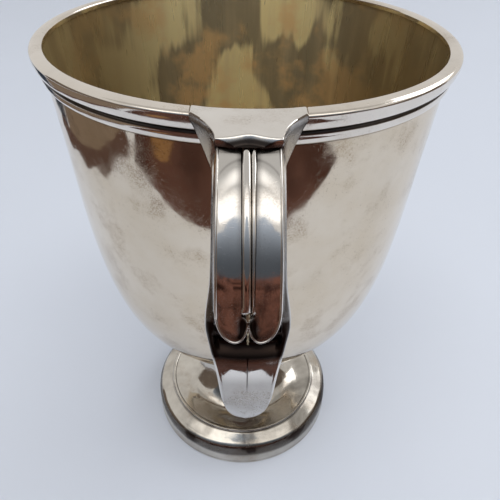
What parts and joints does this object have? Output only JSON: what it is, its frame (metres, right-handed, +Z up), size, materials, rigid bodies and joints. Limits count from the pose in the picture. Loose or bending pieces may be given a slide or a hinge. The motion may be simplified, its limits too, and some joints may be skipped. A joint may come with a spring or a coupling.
{
  "type": "cup trophy",
  "caption": "Silver presentation cup: deep round bowl with a bead and a reed round its rim, upright hollow strap handles at both sides, a trumpet stem and a round moulded foot.",
  "frame": {"origin": "on the cup's axis, in the plane that the foot stands on", "axes": "+Z up along the cup's axis; the handles lie along Y, the front one on -Y; +X to the right of someone who faces the front handle"},
  "size_m": [0.1236, 0.1968, 0.1757],
  "materials": {
    "bowl_silver": "old hand-polished silver with fine scratches and tarnish specks; the inside is worn gilt",
    "rim_silver": "bright polished silver wire, dark tarnish in the grooves",
    "foot_silver": "polished silver with soft dents and tarnish in the corners",
    "handle_silver": "polished silver, dark tarnish in the flutes' corners, small pits",
    "solder": "pale yellow solder strip, dull"
  },
  "bodies": {
    "root": {"bowl": "bowl_silver", "rim_bead_left": "rim_silver", "rim_bead_right": "rim_silver", "rim_reed": "rim_silver", "bowl_collar": "foot_silver", "stem": "foot_silver", "foot_step": "foot_silver", "foot_moulding": "foot_silver", "foot_base_wire": "foot_silver", "front_cap": "handle_silver", "front_root_left": "handle_silver", "front_root_right": "handle_silver", "front_handle_left": "handle_silver", "front_handle_right": "handle_silver", "front_rib_wide": "handle_silver", "front_rib_narrow": "handle_silver", "front_seam_strip": "solder", "rear_cap": "handle_silver", "rear_root_left": "handle_silver", "rear_root_right": "handle_silver", "rear_handle_left": "handle_silver", "rear_handle_right": "handle_silver", "rear_rib_wide": "handle_silver", "rear_rib_narrow": "handle_silver", "rear_seam_strip": "solder"}
  },
  "joints": []
}
